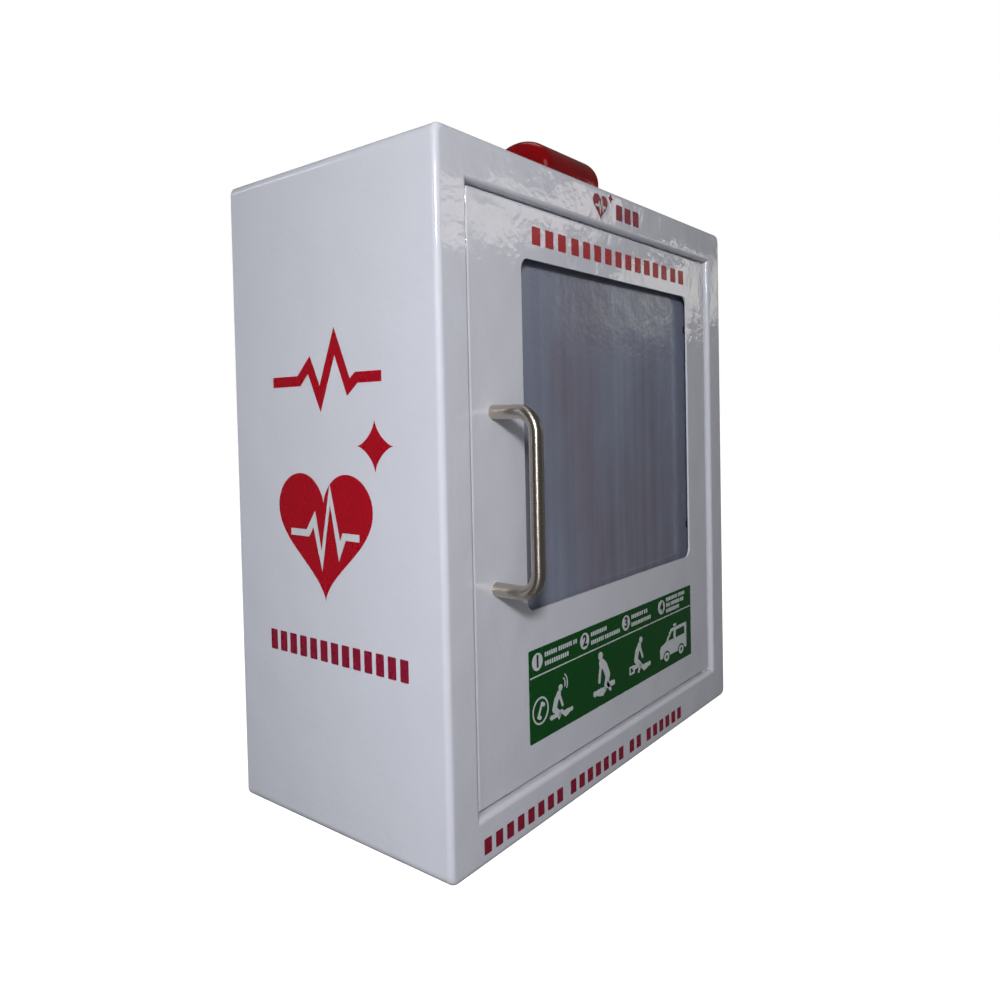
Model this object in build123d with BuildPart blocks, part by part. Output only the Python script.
from build123d import *
import os

# Wall cabinet for a defibrillator, with an alarm and a strobe lamp on its roof.
# Millimetres. +Z is up, the door faces -Y, and the back plate lies on the wall at Y = 0.
# The origin is the centre of the back plate.

# ---- driving dimensions: cabinet ----
WIDTH = 360.0
HEIGHT = 400.0
DEPTH = 180.0
SHEET = 1.5                 # steel sheet of the cabinet
CORNER_RADIUS = 6.0         # the four long edges, seen from the front
FRONT_BEND = 3.5            # fold from the sides into the front frame
FRAME_SIDE = 24.5           # width of the front frame, each side
FRAME_TOP = 26.0
FRAME_BOTTOM = 27.5
LIP_DEPTH = 12.0            # the frame turns inward around the door
LIP_BEND = 3.0
BACK_FLANGE = 12.0
WALL_HOLE_RADIUS = 4.0
WALL_HOLES_X = 260.0
WALL_HOLES_Z = 300.0

# ---- driving dimensions: door ----
DOOR_GAP = 2.0
DOOR_GAP_TOP = 1.0
DOOR_RECESS = 3.0           # door face behind the frame face
DOOR_DEPTH = 15.0           # height of the folded edge of the door pan
DOOR_BEND = 2.0
WINDOW_LEFT = -104.5
WINDOW_RIGHT = 119.5
WINDOW_BOTTOM = -69.5
WINDOW_TOP = 141.0
WINDOW_RADIUS = 7.0
PANE_THICKNESS = 3.0
PANE_MARGIN_X = 18.0        # pane beyond the window, left and right
PANE_MARGIN_Z = 10.0
SPACER_HEIGHT = 5.0
STUD_RADIUS = 2.0
HANDLE_X = -134.0
HANDLE_SPACING = 100.0
HANDLE_ROD_RADIUS = 4.0
HANDLE_REACH = 29.6         # rod centre in front of the door face
HANDLE_BEND = 12.0
PIVOT_INSET_X = 5.5         # hinge axis from the door's right edge
PIVOT_INSET_Y = 5.5         # hinge axis behind the door face
PIN_RADIUS = 2.0
PIN_CLEARANCE = 0.05
BUSH_RADIUS = 3.0

# ---- driving dimensions: strobe lamp ----
STROBE_LENGTH = 70.0
STROBE_DEPTH = 54.0
STROBE_HEIGHT = 39.0
STROBE_SIDE_HEIGHT = 18.0   # the lens wall is upright up to here, above the roof
STROBE_RIM = 6.5            # rounding of the lens, all around both ends
STROBE_Y = -123.0
STROBE_WALL = 2.0
STROBE_SCREW_X = 22.0
ROOF_CABLE_RADIUS = 2.0
ROOF_HOLE_RADIUS = 3.5

# ---- driving dimensions: alarm box under the roof ----
ALARM_WIDTH = 110.0
ALARM_DEPTH = 70.0
ALARM_Y = -95.0
ALARM_WALL = 2.0
ALARM_BOTTOM = 162.0

# ---- derived places ----
FRONT = -DEPTH
ROOF = HEIGHT / 2
CEILING = ROOF - SHEET
OPEN_WIDTH = WIDTH - 2 * FRAME_SIDE
OPEN_TOP = ROOF - FRAME_TOP
OPEN_BOTTOM = -ROOF + FRAME_BOTTOM
OPEN_HEIGHT = OPEN_TOP - OPEN_BOTTOM
OPEN_Z = (OPEN_TOP + OPEN_BOTTOM) / 2
DOOR_WIDTH = OPEN_WIDTH - 2 * DOOR_GAP
DOOR_FACE = FRONT + DOOR_RECESS
DOOR_INSIDE = DOOR_FACE + SHEET
DOOR_REAR = DOOR_FACE + DOOR_DEPTH
DOOR_RIGHT = DOOR_WIDTH / 2
DOOR_TOP = OPEN_TOP - DOOR_GAP_TOP
DOOR_BOTTOM = OPEN_BOTTOM + DOOR_GAP
DOOR_HEIGHT = DOOR_TOP - DOOR_BOTTOM
DOOR_Z = (DOOR_TOP + DOOR_BOTTOM) / 2
PIVOT_X = DOOR_RIGHT - PIVOT_INSET_X
PIVOT_Y = DOOR_FACE + PIVOT_INSET_Y
WINDOW_WIDTH = WINDOW_RIGHT - WINDOW_LEFT
WINDOW_HEIGHT = WINDOW_TOP - WINDOW_BOTTOM
WINDOW_X = (WINDOW_RIGHT + WINDOW_LEFT) / 2
WINDOW_Z = (WINDOW_TOP + WINDOW_BOTTOM) / 2
PANE_FRONT = DOOR_INSIDE + SPACER_HEIGHT
PANE_REAR = PANE_FRONT + PANE_THICKNESS
STUD_OFFSET_X = WINDOW_WIDTH / 2 + 10.0
STUD_OFFSET_Z = 80.0
ALARM_TOP = CEILING
ALARM_FRONT = ALARM_Y - ALARM_DEPTH / 2

os.makedirs("parts", exist_ok=True)


def facing(y):
    """Upright plane at depth y: x is X, y is Z, and an extrusion grows towards the front."""
    return Plane.XZ.offset(-y)


def save(piece, name):
    """Label one finished sub-part and write its STEP file."""
    piece.part.label = name
    export_step(piece.part, f"parts/{name}.step")


# ---------------------------------------------------------------- cabinet
with BuildPart() as cabinet_hollow:
    with BuildSketch(Plane.XZ):
        RectangleRounded(WIDTH - 2 * SHEET, HEIGHT - 2 * SHEET, CORNER_RADIUS - SHEET)
    extrude(amount=DEPTH - SHEET)
    fillet(cabinet_hollow.faces().sort_by(Axis.Y)[0].edges(), FRONT_BEND - SHEET)

with BuildPart() as cabinet_shell:
    with BuildSketch(Plane.XZ):
        RectangleRounded(WIDTH, HEIGHT, CORNER_RADIUS)
    extrude(amount=DEPTH)
    fillet(cabinet_shell.faces().sort_by(Axis.Y)[0].edges(), FRONT_BEND)
    add(cabinet_hollow.part, mode=Mode.SUBTRACT)
    # lip that turns inward around the door
    with BuildSketch(facing(FRONT + LIP_DEPTH)):
        with Locations((0, OPEN_Z)):
            Rectangle(OPEN_WIDTH + 2 * SHEET, OPEN_HEIGHT + 2 * SHEET)
    extrude(amount=LIP_DEPTH - SHEET / 2)
    with BuildSketch(facing(FRONT + LIP_DEPTH)):
        with Locations((0, OPEN_Z)):
            Rectangle(OPEN_WIDTH, OPEN_HEIGHT)
    extrude(amount=LIP_DEPTH, mode=Mode.SUBTRACT)
    front_face = cabinet_shell.faces().filter_by(Axis.Y).sort_by(Axis.Y)[0]
    fillet(front_face.inner_wires()[0].edges(), LIP_BEND)
    # hinge pin holes through the upper and lower lip
    with Locations((PIVOT_X, PIVOT_Y, OPEN_TOP), (PIVOT_X, PIVOT_Y, OPEN_BOTTOM)):
        Cylinder(PIN_RADIUS, 4 * SHEET, mode=Mode.SUBTRACT)
    # roof: strobe screws and the lamp cable
    with Locations((-STROBE_SCREW_X, STROBE_Y, ROOF), (STROBE_SCREW_X, STROBE_Y, ROOF)):
        Cylinder(2.2, 4 * SHEET, mode=Mode.SUBTRACT)
    with Locations((0, STROBE_Y, ROOF)):
        Cylinder(ROOF_HOLE_RADIUS, 4 * SHEET, mode=Mode.SUBTRACT)
save(cabinet_shell, "cabinet_shell")

with BuildPart() as back_panel:
    with BuildSketch(Plane.XZ):
        RectangleRounded(WIDTH - 2 * SHEET, HEIGHT - 2 * SHEET, CORNER_RADIUS)
    extrude(amount=BACK_FLANGE)
    with BuildSketch(facing(-SHEET)):
        RectangleRounded(WIDTH - 4 * SHEET, HEIGHT - 4 * SHEET, CORNER_RADIUS - SHEET)
    extrude(amount=BACK_FLANGE, mode=Mode.SUBTRACT)
    with BuildSketch(Plane.XZ):
        with GridLocations(WALL_HOLES_X, WALL_HOLES_Z, 2, 2):
            Circle(WALL_HOLE_RADIUS)
    extrude(amount=SHEET, mode=Mode.SUBTRACT)
save(back_panel, "back_panel")

# ---------------------------------------------------------------- hinge
PIN_HEAD_RADIUS = 4.0
PIN_HEAD_HEIGHT = 2.0
PIN_REACH = 9.0             # pin beyond the lip, into the door
BUSH_FLANGE_RADIUS = 4.5
BUSH_FLANGE_CLEARANCE = 0.2
BUSH_LENGTH = 7.0           # bush below the door's edge
with BuildPart() as hinge_pins:
    with Locations((PIVOT_X, PIVOT_Y, OPEN_TOP + SHEET)):
        Cylinder(PIN_HEAD_RADIUS, PIN_HEAD_HEIGHT, align=(Align.CENTER, Align.CENTER, Align.MIN))
        Cylinder(PIN_RADIUS, SHEET + PIN_REACH, align=(Align.CENTER, Align.CENTER, Align.MAX))
    with Locations((PIVOT_X, PIVOT_Y, OPEN_BOTTOM - SHEET)):
        Cylinder(PIN_HEAD_RADIUS, PIN_HEAD_HEIGHT, align=(Align.CENTER, Align.CENTER, Align.MAX))
        Cylinder(PIN_RADIUS, SHEET + PIN_REACH, align=(Align.CENTER, Align.CENTER, Align.MIN))
save(hinge_pins, "hinge_pins")

with BuildPart() as hinge_bushes:
    for edge, gap, flange_align, barrel_align in (
        (DOOR_TOP, DOOR_GAP_TOP, Align.MIN, Align.MAX),
        (DOOR_BOTTOM, DOOR_GAP, Align.MAX, Align.MIN),
    ):
        flange_height = gap - BUSH_FLANGE_CLEARANCE
        with Locations((PIVOT_X, PIVOT_Y, edge)):
            Cylinder(BUSH_FLANGE_RADIUS, flange_height, align=(Align.CENTER, Align.CENTER, flange_align))
            Cylinder(BUSH_RADIUS, BUSH_LENGTH, align=(Align.CENTER, Align.CENTER, barrel_align))
            Cylinder(PIN_RADIUS + PIN_CLEARANCE, 3 * BUSH_LENGTH, mode=Mode.SUBTRACT)
save(hinge_bushes, "hinge_bushes")

# ---------------------------------------------------------------- door
with BuildPart() as door_panel:
    with BuildSketch(facing(DOOR_REAR)):
        with Locations((0, DOOR_Z)):
            RectangleRounded(DOOR_WIDTH, DOOR_HEIGHT, DOOR_BEND)
    extrude(amount=DOOR_DEPTH)
    fillet(door_panel.faces().sort_by(Axis.Y)[0].edges(), DOOR_BEND - 0.3)
    with BuildSketch(facing(DOOR_REAR)):
        with Locations((0, DOOR_Z)):
            RectangleRounded(DOOR_WIDTH - 2 * SHEET, DOOR_HEIGHT - 2 * SHEET, DOOR_BEND - SHEET)
    extrude(amount=DOOR_DEPTH - SHEET, mode=Mode.SUBTRACT)
    with BuildSketch(facing(DOOR_INSIDE)):
        with Locations((WINDOW_X, WINDOW_Z)):
            RectangleRounded(WINDOW_WIDTH, WINDOW_HEIGHT, WINDOW_RADIUS)
        with Locations((HANDLE_X, HANDLE_SPACING / 2), (HANDLE_X, -HANDLE_SPACING / 2)):
            Circle(2.2)
    extrude(amount=SHEET, mode=Mode.SUBTRACT)
    with Locations((PIVOT_X, PIVOT_Y, DOOR_TOP), (PIVOT_X, PIVOT_Y, DOOR_BOTTOM)):
        Cylinder(BUSH_RADIUS, 4 * SHEET, mode=Mode.SUBTRACT)
save(door_panel, "door_panel")

HANDLE_HALF = HANDLE_SPACING / 2
HANDLE_ROD_Y = DOOR_FACE - HANDLE_REACH
SCREW_DEPTH_IN_HANDLE = 10.0
with BuildPart() as handle:
    with BuildLine():
        FilletPolyline(
            (HANDLE_X, DOOR_FACE, HANDLE_HALF),
            (HANDLE_X, HANDLE_ROD_Y, HANDLE_HALF),
            (HANDLE_X, HANDLE_ROD_Y, -HANDLE_HALF),
            (HANDLE_X, DOOR_FACE, -HANDLE_HALF),
            radius=HANDLE_BEND,
        )
    with BuildSketch(facing(DOOR_FACE)):
        with Locations((HANDLE_X, HANDLE_HALF)):
            Circle(HANDLE_ROD_RADIUS)
    sweep()
    with BuildSketch(facing(DOOR_FACE)):
        with Locations((HANDLE_X, HANDLE_HALF), (HANDLE_X, -HANDLE_HALF)):
            Circle(2.0)
    extrude(amount=SCREW_DEPTH_IN_HANDLE + 0.5, mode=Mode.SUBTRACT)
save(handle, "handle")

WASHER_HEIGHT = 1.0
with BuildPart() as handle_washers:
    with BuildSketch(facing(DOOR_INSIDE + WASHER_HEIGHT)):
        with Locations((HANDLE_X, HANDLE_HALF), (HANDLE_X, -HANDLE_HALF)):
            Circle(5.0)
            Circle(2.2, mode=Mode.SUBTRACT)
    extrude(amount=WASHER_HEIGHT)
save(handle_washers, "handle_washers")

SCREW_HEAD_HEIGHT = 2.6
HANDLE_SCREW_SEAT = DOOR_INSIDE + WASHER_HEIGHT
with BuildPart() as handle_screws:
    with BuildSketch(facing(HANDLE_SCREW_SEAT)):
        with Locations((HANDLE_X, HANDLE_HALF), (HANDLE_X, -HANDLE_HALF)):
            Circle(2.0)
    extrude(amount=HANDLE_SCREW_SEAT - DOOR_FACE + SCREW_DEPTH_IN_HANDLE)
    with BuildSketch(facing(HANDLE_SCREW_SEAT + SCREW_HEAD_HEIGHT)):
        with Locations((HANDLE_X, HANDLE_HALF), (HANDLE_X, -HANDLE_HALF)):
            Circle(3.8)
    extrude(amount=SCREW_HEAD_HEIGHT)
    fillet(handle_screws.faces().sort_by(Axis.Y)[-2:].edges(), 1.0)
    with BuildSketch(facing(HANDLE_SCREW_SEAT + SCREW_HEAD_HEIGHT)):
        with Locations((HANDLE_X, HANDLE_HALF), (HANDLE_X, -HANDLE_HALF)):
            Rectangle(0.9, 4.6)
            Rectangle(4.6, 0.9)
    extrude(amount=1.4, mode=Mode.SUBTRACT)
save(handle_screws, "handle_screws")

# ---------------------------------------------------------------- window pane and its fixings
with BuildPart() as window_pane:
    with BuildSketch(facing(PANE_REAR)):
        with Locations((WINDOW_X, WINDOW_Z)):
            RectangleRounded(WINDOW_WIDTH + 2 * PANE_MARGIN_X, WINDOW_HEIGHT + 2 * PANE_MARGIN_Z, 4.0)
            with GridLocations(2 * STUD_OFFSET_X, 2 * STUD_OFFSET_Z, 2, 2):
                Circle(STUD_RADIUS + 0.3, mode=Mode.SUBTRACT)
    extrude(amount=PANE_THICKNESS)
save(window_pane, "window_pane")


def stud_rings(outer, inner, rear, height):
    """Four equal rings around the pane's studs, rear being their face towards the wall."""
    with BuildPart() as rings:
        with BuildSketch(facing(rear)):
            with Locations((WINDOW_X, WINDOW_Z)):
                with GridLocations(2 * STUD_OFFSET_X, 2 * STUD_OFFSET_Z, 2, 2):
                    Circle(outer)
                    if inner > 0:
                        Circle(inner, mode=Mode.SUBTRACT)
        extrude(amount=height)
    return rings


NUT_HEIGHT = 3.2
save(stud_rings(3.8, STUD_RADIUS + 0.1, PANE_FRONT, SPACER_HEIGHT), "pane_spacers")
save(stud_rings(4.5, STUD_RADIUS + 0.1, PANE_REAR + WASHER_HEIGHT, WASHER_HEIGHT), "pane_washers")
STUD_END = PANE_REAR + WASHER_HEIGHT + NUT_HEIGHT + 1.0
save(stud_rings(STUD_RADIUS, 0, STUD_END, STUD_END - DOOR_INSIDE), "pane_studs")

with BuildPart() as pane_nuts:
    with BuildSketch(facing(PANE_REAR + WASHER_HEIGHT + NUT_HEIGHT)):
        with Locations((WINDOW_X, WINDOW_Z)):
            with GridLocations(2 * STUD_OFFSET_X, 2 * STUD_OFFSET_Z, 2, 2):
                RegularPolygon(3.5, 6, major_radius=False)
                Circle(STUD_RADIUS, mode=Mode.SUBTRACT)
    extrude(amount=NUT_HEIGHT)
save(pane_nuts, "pane_nuts")

# ---------------------------------------------------------------- instruction label on the door
LABEL_LEFT = -105.0
LABEL_RIGHT = 118.5
LABEL_BOTTOM = -149.5
LABEL_TOP = -93.0
LABEL_THICKNESS = 0.3
with BuildPart() as instruction_label:
    with BuildSketch(facing(DOOR_FACE)):
        with Locations(((LABEL_LEFT + LABEL_RIGHT) / 2, (LABEL_BOTTOM + LABEL_TOP) / 2)):
            RectangleRounded(LABEL_RIGHT - LABEL_LEFT, LABEL_TOP - LABEL_BOTTOM, 1.0)
    extrude(amount=LABEL_THICKNESS)
save(instruction_label, "instruction_label")

# ---------------------------------------------------------------- magnetic catch
CATCH_HALF = 23.0           # half its height
CATCH_DEPTH = 14.0
CATCH_GAP = 0.4             # magnet to strike when shut
STRIKE_THICKNESS = 1.5
DOOR_LEFT_INSIDE = -DOOR_WIDTH / 2 + SHEET
STRIKE_REAR = DOOR_REAR + 0.5
CATCH_FACE = STRIKE_REAR + CATCH_GAP
CATCH_MOUNT = CATCH_FACE + CATCH_DEPTH
CATCH_LEFT = DOOR_LEFT_INSIDE + 1.0
CATCH_WIDTH = 15.0
with BuildPart() as catch_strike:
    with BuildSketch(Plane.XY.offset(-15.0)):
        with Locations((DOOR_LEFT_INSIDE, STRIKE_REAR)):
            Rectangle(17.0, STRIKE_THICKNESS, align=(Align.MIN, Align.MAX))
            Rectangle(STRIKE_THICKNESS, 10.0, align=(Align.MIN, Align.MAX))
    extrude(amount=30.0)
save(catch_strike, "catch_strike")

with BuildPart() as catch_bracket:
    with BuildSketch(Plane.XY.offset(-28.0)):
        with Locations((-WIDTH / 2 + SHEET, CATCH_MOUNT)):
            Rectangle(42.5, SHEET, align=(Align.MIN, Align.MIN))
            Rectangle(SHEET, 20.0, align=(Align.MIN, Align.MIN))
    extrude(amount=56.0)
save(catch_bracket, "catch_bracket")

CATCH_X = CATCH_LEFT + CATCH_WIDTH / 2
with BuildPart() as catch_body:
    with BuildSketch(facing(CATCH_MOUNT)):
        with Locations((CATCH_X, 0)):
            RectangleRounded(CATCH_WIDTH, 2 * CATCH_HALF, 2.0)
    extrude(amount=3.0)
    with BuildSketch(facing(CATCH_MOUNT)):
        with Locations((CATCH_X, 0)):
            Rectangle(CATCH_WIDTH, 28.0)
    extrude(amount=CATCH_DEPTH - 0.5)
    with BuildSketch(facing(CATCH_MOUNT - 3.0)):
        with Locations((CATCH_X, 0)):
            Rectangle(9.0, 22.0)
    extrude(amount=CATCH_DEPTH, mode=Mode.SUBTRACT)
save(catch_body, "catch_body")

with BuildPart() as catch_magnet:
    with BuildSketch(facing(CATCH_MOUNT - 3.0)):
        with Locations((CATCH_X, 0)):
            Rectangle(4.8, 21.6)
    extrude(amount=CATCH_DEPTH - 4.5)
    with BuildSketch(facing(CATCH_MOUNT - 3.0)):
        with Locations((CATCH_X - 3.4, 0), (CATCH_X + 3.4, 0)):
            Rectangle(2.0, 21.6)
    extrude(amount=CATCH_DEPTH - 3.0)
save(catch_magnet, "catch_magnet")

with BuildPart() as catch_screws:
    with BuildSketch(facing(CATCH_MOUNT - 3.0)):
        with Locations((CATCH_X, 18.5), (CATCH_X, -18.5)):
            Circle(2.8)
    extrude(amount=1.8)
save(catch_screws, "catch_screws")

# ---------------------------------------------------------------- door stops with rubber bumpers
STOP_Z = 120.0
BUMPER_HEIGHT = 2.0
STOP_FACE = DOOR_REAR + 0.4 + BUMPER_HEIGHT
with BuildPart() as door_stops:
    with BuildSketch(Plane.XY.offset(STOP_Z - 10)) as upper_stop:
        with Locations((-WIDTH / 2 + SHEET, STOP_FACE)):
            Rectangle(34.0, SHEET, align=(Align.MIN, Align.MIN))
            Rectangle(SHEET, 16.0, align=(Align.MIN, Align.MIN))
    extrude(amount=20.0)
    with BuildSketch(Plane.XY.offset(-STOP_Z - 10)) as lower_stop:
        add(upper_stop.sketch)
    extrude(amount=20.0)
save(door_stops, "door_stops")

with BuildPart() as door_bumpers:
    with BuildSketch(facing(STOP_FACE)):
        with Locations((DOOR_LEFT_INSIDE, STOP_Z), (DOOR_LEFT_INSIDE, -STOP_Z)):
            Circle(4.0)
    extrude(amount=BUMPER_HEIGHT)
    fillet(door_bumpers.faces().sort_by(Axis.Y)[:2].edges(), 0.8)
save(door_bumpers, "door_bumpers")

# ---------------------------------------------------------------- door switch
SWITCH_X = -90.0
SWITCH_WIDTH = 20.0
SWITCH_FRONT = -152.0
SWITCH_LENGTH = 28.0
SWITCH_BOTTOM = 160.0
SWITCH_TOP = OPEN_TOP + SHEET
PLUNGER_RADIUS = 3.0
PLUNGER_Z = 166.0
with BuildPart() as switch_strike:
    with BuildSketch(Plane.YZ.offset(SWITCH_X - 10)):
        with Locations((DOOR_REAR, DOOR_TOP - SHEET)):
            Rectangle(SHEET, 12.0, align=(Align.MAX, Align.MAX))
            Rectangle(9.0, SHEET, align=(Align.MAX, Align.MAX))
    extrude(amount=20.0)
save(switch_strike, "switch_strike")

with BuildPart() as switch_bracket:
    with BuildSketch(Plane.XY.offset(SWITCH_TOP)):
        with Locations((SWITCH_X, FRONT + LIP_DEPTH - 6)):
            Rectangle(SWITCH_WIDTH + 6, 52.0, align=(Align.CENTER, Align.MIN))
        with Locations((SWITCH_X, SWITCH_FRONT + 7), (SWITCH_X, SWITCH_FRONT + 21)):
            Circle(1.6, mode=Mode.SUBTRACT)
    extrude(amount=SHEET)
save(switch_bracket, "switch_bracket")

with BuildPart() as switch_body:
    with BuildSketch(Plane.XY.offset(SWITCH_BOTTOM)):
        with Locations((SWITCH_X, SWITCH_FRONT)):
            Rectangle(SWITCH_WIDTH, SWITCH_LENGTH, align=(Align.CENTER, Align.MIN))
    extrude(amount=SWITCH_TOP - SWITCH_BOTTOM)
    chamfer(switch_body.edges().filter_by(Axis.Z), 1.0)
    with BuildSketch(facing(SWITCH_FRONT)):
        with Locations((SWITCH_X, PLUNGER_Z)):
            Circle(PLUNGER_RADIUS + 2.0)
    extrude(amount=3.0)
    with BuildSketch(facing(SWITCH_FRONT + 18.0)):
        with Locations((SWITCH_X, PLUNGER_Z)):
            Circle(PLUNGER_RADIUS + 0.05)
    extrude(amount=30.0, mode=Mode.SUBTRACT)
    with BuildSketch(Plane.XY.offset(SWITCH_TOP)):
        with Locations((SWITCH_X, SWITCH_FRONT + 7), (SWITCH_X, SWITCH_FRONT + 21)):
            Circle(1.5)
    extrude(amount=-6.0, mode=Mode.SUBTRACT)
save(switch_body, "switch_body")

PLUNGER_TIP = DOOR_REAR + 0.3
with BuildPart() as switch_plunger:
    with BuildSketch(facing(SWITCH_FRONT + 16.0)):
        with Locations((SWITCH_X, PLUNGER_Z)):
            Circle(PLUNGER_RADIUS)
    extrude(amount=SWITCH_FRONT + 16.0 - PLUNGER_TIP)
    fillet(switch_plunger.faces().sort_by(Axis.Y)[0].edges(), 1.5)
save(switch_plunger, "switch_plunger")

with BuildPart() as switch_screws:
    with BuildSketch(Plane.XY.offset(SWITCH_TOP - 6.0)):
        with Locations((SWITCH_X, SWITCH_FRONT + 7), (SWITCH_X, SWITCH_FRONT + 21)):
            Circle(1.5)
    extrude(amount=6.0 + SHEET)
    with BuildSketch(Plane.XY.offset(SWITCH_TOP + SHEET)):
        with Locations((SWITCH_X, SWITCH_FRONT + 7), (SWITCH_X, SWITCH_FRONT + 21)):
            Circle(2.8)
    extrude(amount=1.8)
save(switch_screws, "switch_screws")

CABLE_RADIUS = 1.5
SWITCH_CABLE_Z = 172.0
with BuildPart() as switch_cable:
    with BuildLine():
        FilletPolyline(
            (SWITCH_X, SWITCH_FRONT + SWITCH_LENGTH, SWITCH_CABLE_Z),
            (SWITCH_X, ALARM_Y, SWITCH_CABLE_Z),
            (-ALARM_WIDTH / 2, ALARM_Y, SWITCH_CABLE_Z),
            radius=18.0,
        )
    with BuildSketch(facing(SWITCH_FRONT + SWITCH_LENGTH)):
        with Locations((SWITCH_X, SWITCH_CABLE_Z)):
            Circle(CABLE_RADIUS)
    sweep()
save(switch_cable, "switch_cable")

# ---------------------------------------------------------------- alarm box
POST_X = ALARM_WIDTH / 2 - 6
POST_Y = ALARM_DEPTH / 2 - 6
BASE_BOTTOM = ALARM_TOP - ALARM_WALL
BOARD_X = 22.5
BOARD_Y = ALARM_Y + 8.0
BOARD_WIDTH = 44.0
BOARD_DEPTH = 40.0
BOARD_TOP = BASE_BOTTOM - 8.0
BOARD_THICKNESS = 1.6
with BuildPart() as alarm_base:
    with BuildSketch(Plane.XY.offset(ALARM_TOP)):
        with Locations((0, ALARM_Y)):
            RectangleRounded(ALARM_WIDTH, ALARM_DEPTH, 3.0)
        with Locations((-STROBE_SCREW_X, STROBE_Y), (STROBE_SCREW_X, STROBE_Y)):
            Circle(2.2, mode=Mode.SUBTRACT)
        with Locations((0, STROBE_Y)):
            Circle(ROOF_HOLE_RADIUS, mode=Mode.SUBTRACT)
    extrude(amount=-ALARM_WALL)
    with BuildSketch(Plane.XY.offset(BASE_BOTTOM)):
        with Locations((0, ALARM_Y)):
            with GridLocations(2 * POST_X, 2 * POST_Y, 2, 2):
                Circle(3.5)
                Circle(1.5, mode=Mode.SUBTRACT)
    extrude(amount=-16.0)
    with BuildSketch(Plane.XY.offset(BASE_BOTTOM)):
        with Locations((BOARD_X, BOARD_Y)):
            with GridLocations(BOARD_WIDTH - 8, BOARD_DEPTH - 8, 2, 2):
                Circle(2.8)
                Circle(1.25, mode=Mode.SUBTRACT)
    extrude(amount=BOARD_TOP - BASE_BOTTOM)
save(alarm_base, "alarm_base")

SIREN_X = 30.0
SIREN_Z = 179.0
SIREN_RADIUS = 13.0
KEY_X = -33.0
KEY_Z = 178.0
BARREL_RADIUS = 6.0
with BuildPart() as alarm_cover:
    with BuildSketch(Plane.XY.offset(ALARM_BOTTOM)):
        with Locations((0, ALARM_Y)):
            RectangleRounded(ALARM_WIDTH, ALARM_DEPTH, 3.0)
    extrude(amount=BASE_BOTTOM - ALARM_BOTTOM)
    fillet(alarm_cover.faces().sort_by(Axis.Z)[0].edges(), 1.5)
    with BuildSketch(Plane.XY.offset(ALARM_BOTTOM + ALARM_WALL)):
        with Locations((0, ALARM_Y)):
            RectangleRounded(ALARM_WIDTH - 2 * ALARM_WALL, ALARM_DEPTH - 2 * ALARM_WALL, 1.0)
    extrude(amount=BASE_BOTTOM - ALARM_BOTTOM, mode=Mode.SUBTRACT)
    # sleeves for the four cover screws
    with BuildSketch(Plane.XY.offset(ALARM_BOTTOM + ALARM_WALL)):
        with Locations((0, ALARM_Y)):
            with GridLocations(2 * POST_X, 2 * POST_Y, 2, 2):
                Circle(3.5)
    extrude(amount=BASE_BOTTOM - 16.0 - ALARM_BOTTOM - ALARM_WALL)
    with BuildSketch(Plane.XY.offset(ALARM_BOTTOM)):
        with Locations((0, ALARM_Y)):
            with GridLocations(2 * POST_X, 2 * POST_Y, 2, 2):
                Circle(1.7)
    extrude(amount=40.0, mode=Mode.SUBTRACT)
    with BuildSketch(facing(ALARM_FRONT + 2 * ALARM_WALL)):
        # slots in front of the siren
        with Locations((SIREN_X, SIREN_Z)):
            with GridLocations(5.0, 1.0, 5, 1):
                SlotOverall(18.0, 2.0, rotation=90)
        # bore of the key switch
        with Locations((KEY_X, KEY_Z)):
            Circle(BARREL_RADIUS)
    extrude(amount=3 * ALARM_WALL, mode=Mode.SUBTRACT)
save(alarm_cover, "alarm_cover")

with BuildPart() as alarm_cover_screws:
    with BuildSketch(Plane.XY.offset(ALARM_BOTTOM)):
        with Locations((0, ALARM_Y)):
            with GridLocations(2 * POST_X, 2 * POST_Y, 2, 2):
                Circle(2.8)
    extrude(amount=-1.8)
    with BuildSketch(Plane.XY.offset(ALARM_BOTTOM)):
        with Locations((0, ALARM_Y)):
            with GridLocations(2 * POST_X, 2 * POST_Y, 2, 2):
                Circle(1.5)
    extrude(amount=26.0)
save(alarm_cover_screws, "alarm_cover_screws")

with BuildPart() as circuit_board:
    with BuildSketch(Plane.XY.offset(BOARD_TOP - BOARD_THICKNESS)):
        with Locations((BOARD_X, BOARD_Y)):
            Rectangle(BOARD_WIDTH, BOARD_DEPTH)
            with GridLocations(BOARD_WIDTH - 8, BOARD_DEPTH - 8, 2, 2):
                Circle(1.4, mode=Mode.SUBTRACT)
    extrude(amount=BOARD_THICKNESS)
    # timer chip, capacitor and terminal block on its lower side
    with BuildSketch(Plane.XY.offset(BOARD_TOP - BOARD_THICKNESS)):
        with Locations((BOARD_X - 8, BOARD_Y - 4)):
            Rectangle(10.0, 7.0)
    extrude(amount=-3.0)
    with BuildSketch(Plane.XY.offset(BOARD_TOP - BOARD_THICKNESS)):
        with Locations((BOARD_X + 10, BOARD_Y - 2)):
            Circle(4.0)
    extrude(amount=-9.0)
    with BuildSketch(Plane.XY.offset(BOARD_TOP - BOARD_THICKNESS)):
        with Locations((BOARD_X, BOARD_Y + 13)):
            Rectangle(20.0, 8.0)
    extrude(amount=-8.0)
save(circuit_board, "circuit_board")

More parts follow.
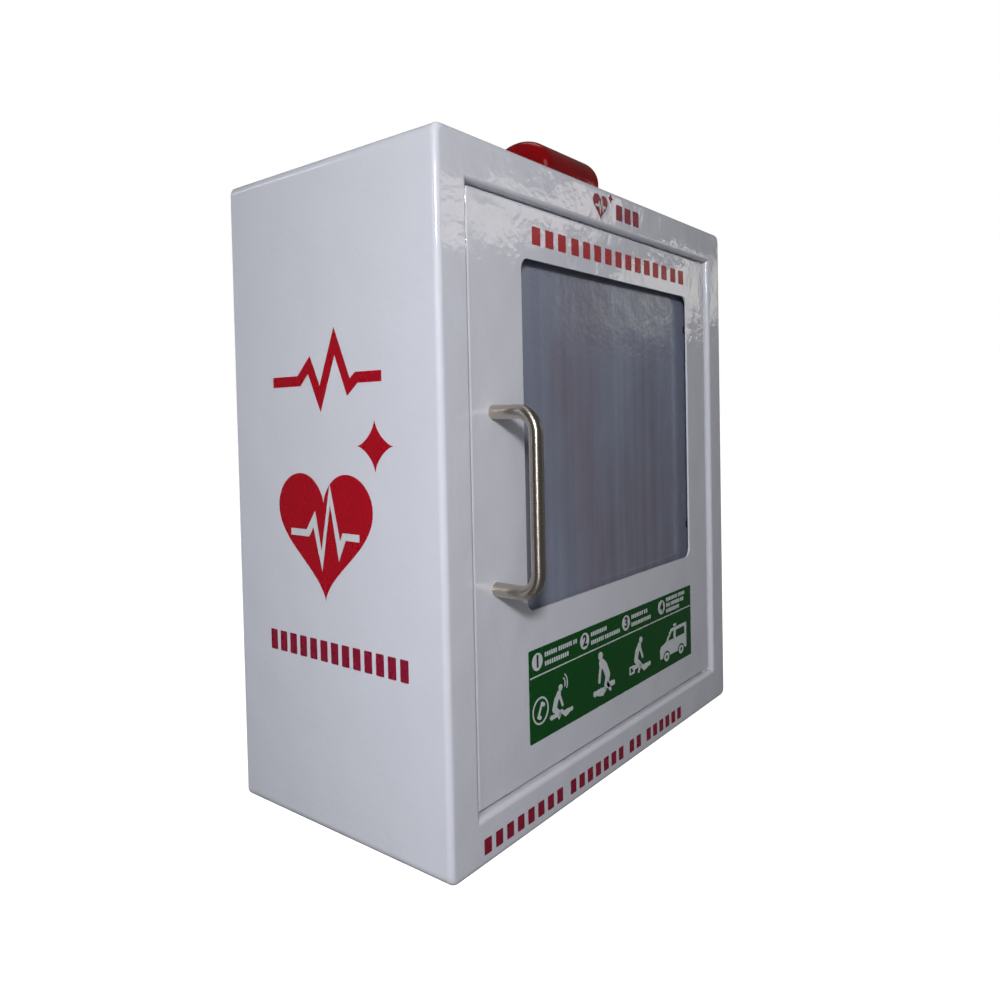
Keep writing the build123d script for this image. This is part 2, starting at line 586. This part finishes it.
with BuildPart() as board_screws:
    with BuildSketch(Plane.XY.offset(BOARD_TOP - BOARD_THICKNESS)):
        with Locations((BOARD_X, BOARD_Y)):
            with GridLocations(BOARD_WIDTH - 8, BOARD_DEPTH - 8, 2, 2):
                Circle(2.4)
    extrude(amount=-1.6)
    with BuildSketch(Plane.XY.offset(BOARD_TOP - BOARD_THICKNESS)):
        with Locations((BOARD_X, BOARD_Y)):
            with GridLocations(BOARD_WIDTH - 8, BOARD_DEPTH - 8, 2, 2):
                Circle(1.25)
    extrude(amount=6.0)
save(board_screws, "board_screws")

with BuildPart() as siren:
    with BuildSketch(facing(ALARM_FRONT + ALARM_WALL + 12.0)):
        with Locations((SIREN_X, SIREN_Z)):
            Circle(SIREN_RADIUS)
    extrude(amount=12.0)
    with BuildSketch(facing(ALARM_FRONT + ALARM_WALL + 1.0)):
        with Locations((SIREN_X, SIREN_Z)):
            Circle(SIREN_RADIUS - 1.5)
    extrude(amount=1.0, mode=Mode.SUBTRACT)
save(siren, "siren")

BATTERY_X = -27.5
BATTERY_Y = ALARM_Y + 12.0
BATTERY_LENGTH = 48.5
BATTERY_DEPTH = 26.5
BATTERY_HEIGHT = 17.5
BATTERY_TOP = BASE_BOTTOM - 3.0
with BuildPart() as battery:
    with BuildSketch(Plane.XY.offset(BATTERY_TOP - BATTERY_HEIGHT)):
        with Locations((BATTERY_X, BATTERY_Y)):
            RectangleRounded(BATTERY_LENGTH, BATTERY_DEPTH, 1.5)
    extrude(amount=BATTERY_HEIGHT)
    with BuildSketch(Plane.YZ.offset(BATTERY_X + BATTERY_LENGTH / 2)):
        with Locations((BATTERY_Y - 6.3, BATTERY_TOP - 8.7), (BATTERY_Y + 6.3, BATTERY_TOP - 8.7)):
            Circle(3.0)
    extrude(amount=2.5)
save(battery, "battery")

CLIP_SHEET = 0.8
with BuildPart() as battery_clip:
    with BuildSketch(Plane.YZ.offset(BATTERY_X - 8)):
        with Locations((BATTERY_Y, BASE_BOTTOM)):
            Rectangle(BATTERY_DEPTH + 2 * CLIP_SHEET + 0.2, 20.0, align=(Align.CENTER, Align.MAX))
        with Locations((BATTERY_Y, BASE_BOTTOM - CLIP_SHEET)):
            Rectangle(BATTERY_DEPTH + 0.2, 22.0, align=(Align.CENTER, Align.MAX), mode=Mode.SUBTRACT)
    extrude(amount=16.0)
save(battery_clip, "battery_clip")

# ---------------------------------------------------------------- key switch
ROTOR_RADIUS = 4.0
ROTOR_FRONT = ALARM_FRONT - 2.5
with BuildPart() as key_switch_barrel:
    with BuildSketch(facing(ALARM_FRONT + 20.0)):
        with Locations((KEY_X, KEY_Z)):
            Circle(BARREL_RADIUS - 0.1)
    extrude(amount=20.0)
    with BuildSketch(facing(ALARM_FRONT)):
        with Locations((KEY_X, KEY_Z)):
            Circle(BARREL_RADIUS + 2.5)
    extrude(amount=2.0)
    fillet(key_switch_barrel.faces().sort_by(Axis.Y)[0].edges(), 0.8)
    with BuildSketch(facing(ALARM_FRONT + 18.0)):
        with Locations((KEY_X, KEY_Z)):
            Circle(ROTOR_RADIUS + 0.05)
    extrude(amount=40.0, mode=Mode.SUBTRACT)
save(key_switch_barrel, "key_switch_barrel")

with BuildPart() as key_switch_nut:
    with BuildSketch(facing(ALARM_FRONT + ALARM_WALL + 3.0)):
        with Locations((KEY_X, KEY_Z)):
            RegularPolygon(8.0, 6, major_radius=False)
            Circle(BARREL_RADIUS - 0.1, mode=Mode.SUBTRACT)
    extrude(amount=3.0)
save(key_switch_nut, "key_switch_nut")

KEY_THICKNESS = 2.0
KEY_BLADE = 5.0
with BuildPart() as key_switch_rotor:
    with BuildSketch(facing(ALARM_FRONT + 17.5)):
        with Locations((KEY_X, KEY_Z)):
            Circle(ROTOR_RADIUS)
    extrude(amount=ALARM_FRONT + 17.5 - ROTOR_FRONT)
    with BuildSketch(facing(ALARM_FRONT + 12.0)):
        with Locations((KEY_X, KEY_Z)):
            Rectangle(KEY_THICKNESS + 0.1, KEY_BLADE + 0.1)
    extrude(amount=30.0, mode=Mode.SUBTRACT)
save(key_switch_rotor, "key_switch_rotor")

KEY_BOW_RADIUS = 9.0
KEY_BOW_Y = ROTOR_FRONT - KEY_BOW_RADIUS - 3.0
with BuildPart() as alarm_key:
    with BuildSketch(Plane.YZ.offset(KEY_X - KEY_THICKNESS / 2)):
        with Locations((KEY_BOW_Y, KEY_Z)):
            Circle(KEY_BOW_RADIUS)
            Rectangle(ALARM_FRONT + 11.0 - KEY_BOW_Y, KEY_BLADE, align=(Align.MIN, Align.CENTER))
        with Locations((KEY_BOW_Y - 3.5, KEY_Z)):
            Circle(2.5, mode=Mode.SUBTRACT)
    extrude(amount=KEY_THICKNESS)
save(alarm_key, "alarm_key")

# ---------------------------------------------------------------- strobe lamp on the roof
GASKET_HEIGHT = 1.5
STROBE_BASE_BOTTOM = ROOF + GASKET_HEIGHT
STROBE_BASE_TOP = STROBE_BASE_BOTTOM + 5.0
STROBE_TOP = ROOF + STROBE_HEIGHT
with BuildPart() as strobe_gasket:
    with BuildSketch(Plane.XY.offset(ROOF)):
        with Locations((0, STROBE_Y)):
            RectangleRounded(STROBE_LENGTH - 2, STROBE_DEPTH - 2, STROBE_RIM - 1)
            Circle(6.0, mode=Mode.SUBTRACT)
        with Locations((-STROBE_SCREW_X, STROBE_Y), (STROBE_SCREW_X, STROBE_Y)):
            Circle(2.2, mode=Mode.SUBTRACT)
    extrude(amount=GASKET_HEIGHT)
save(strobe_gasket, "strobe_gasket")

with BuildPart() as strobe_base:
    with BuildSketch(Plane.XY.offset(STROBE_BASE_BOTTOM)):
        with Locations((0, STROBE_Y)):
            RectangleRounded(STROBE_LENGTH, STROBE_DEPTH, STROBE_RIM)
            Circle(3.0, mode=Mode.SUBTRACT)
        with Locations((-STROBE_SCREW_X, STROBE_Y), (STROBE_SCREW_X, STROBE_Y)):
            Circle(2.2, mode=Mode.SUBTRACT)
    extrude(amount=STROBE_BASE_TOP - STROBE_BASE_BOTTOM)
    with BuildSketch(Plane.XY.offset(STROBE_BASE_TOP)):
        with Locations((0, STROBE_Y)):
            with GridLocations(30.0, 40.0, 2, 2):
                Circle(2.5)
    extrude(amount=6.0)
save(strobe_base, "strobe_base")


def loaf(length, depth, top, corner):
    """Half-round loaf along X: upright sides, an elliptic back, and rounded end rims."""
    side = ROOF + STROBE_SIDE_HEIGHT
    with BuildPart() as solid:
        with BuildSketch(Plane.YZ.offset(-length / 2)):
            with Locations((STROBE_Y, side)):
                Ellipse(depth / 2, top - side)
            with Locations((STROBE_Y, side)):
                Rectangle(depth, side - STROBE_BASE_TOP, align=(Align.CENTER, Align.MAX))
            with Locations((STROBE_Y, STROBE_BASE_TOP)):
                Rectangle(2 * depth, 2 * STROBE_HEIGHT, align=(Align.CENTER, Align.MAX), mode=Mode.SUBTRACT)
        extrude(amount=length)
        ends = solid.faces().filter_by(Axis.X)
        rims = ends.edges().filter_by(lambda rim: rim.center().Z > STROBE_BASE_TOP + 0.1)
        fillet(rims, corner)
    return solid.part


with BuildPart() as strobe_lens:
    add(loaf(STROBE_LENGTH, STROBE_DEPTH, STROBE_TOP, STROBE_RIM))
    add(
        loaf(
            STROBE_LENGTH - 2 * STROBE_WALL,
            STROBE_DEPTH - 2 * STROBE_WALL,
            STROBE_TOP - STROBE_WALL,
            STROBE_RIM - STROBE_WALL,
        ),
        mode=Mode.SUBTRACT,
    )
save(strobe_lens, "strobe_lens")

STROBE_BOARD_BOTTOM = STROBE_BASE_TOP + 6.0
with BuildPart() as strobe_board:
    with BuildSketch(Plane.XY.offset(STROBE_BOARD_BOTTOM)):
        with Locations((0, STROBE_Y)):
            Rectangle(38.0, 48.0)
    extrude(amount=1.6)
save(strobe_board, "strobe_board")

with BuildPart() as strobe_leds:
    with BuildSketch(Plane.XY.offset(STROBE_BOARD_BOTTOM + 1.6)):
        with Locations((0, STROBE_Y)):
            with GridLocations(11.0, 11.0, 3, 4):
                Circle(2.5)
    extrude(amount=5.0)
    fillet(strobe_leds.faces().filter_by(Axis.Z).group_by(Axis.Z)[-1].edges(), 2.0)
save(strobe_leds, "strobe_leds")

with BuildPart() as strobe_screws:
    with BuildSketch(Plane.XY.offset(STROBE_BASE_TOP)):
        with Locations((-STROBE_SCREW_X, STROBE_Y), (STROBE_SCREW_X, STROBE_Y)):
            Circle(3.8)
    extrude(amount=2.6)
    with BuildSketch(Plane.XY.offset(STROBE_BASE_TOP)):
        with Locations((-STROBE_SCREW_X, STROBE_Y), (STROBE_SCREW_X, STROBE_Y)):
            Circle(2.0)
    extrude(amount=BASE_BOTTOM - NUT_HEIGHT - 1.0 - STROBE_BASE_TOP)
save(strobe_screws, "strobe_screws")

with BuildPart() as strobe_nuts:
    with BuildSketch(Plane.XY.offset(BASE_BOTTOM)):
        with Locations((-STROBE_SCREW_X, STROBE_Y), (STROBE_SCREW_X, STROBE_Y)):
            RegularPolygon(3.5, 6, major_radius=False)
            Circle(2.0, mode=Mode.SUBTRACT)
    extrude(amount=-NUT_HEIGHT)
save(strobe_nuts, "strobe_nuts")

with BuildPart() as cable_grommet:
    with BuildSketch(Plane.XY.offset(BASE_BOTTOM - 1.5)):
        with Locations((0, STROBE_Y)):
            Circle(ROOF_HOLE_RADIUS + 1.3)
            Circle(ROOF_CABLE_RADIUS + 0.1, mode=Mode.SUBTRACT)
    extrude(amount=1.5)
    with BuildSketch(Plane.XY.offset(BASE_BOTTOM)):
        with Locations((0, STROBE_Y)):
            Circle(ROOF_HOLE_RADIUS - 0.1)
            Circle(ROOF_CABLE_RADIUS + 0.1, mode=Mode.SUBTRACT)
    extrude(amount=ROOF - BASE_BOTTOM + 1.2)
save(cable_grommet, "cable_grommet")

with BuildPart() as strobe_cable:
    with BuildSketch(Plane.XY.offset(BASE_BOTTOM - 12.0)):
        with Locations((0, STROBE_Y)):
            Circle(ROOF_CABLE_RADIUS)
    extrude(amount=STROBE_BOARD_BOTTOM - BASE_BOTTOM + 12.0)
save(strobe_cable, "strobe_cable")
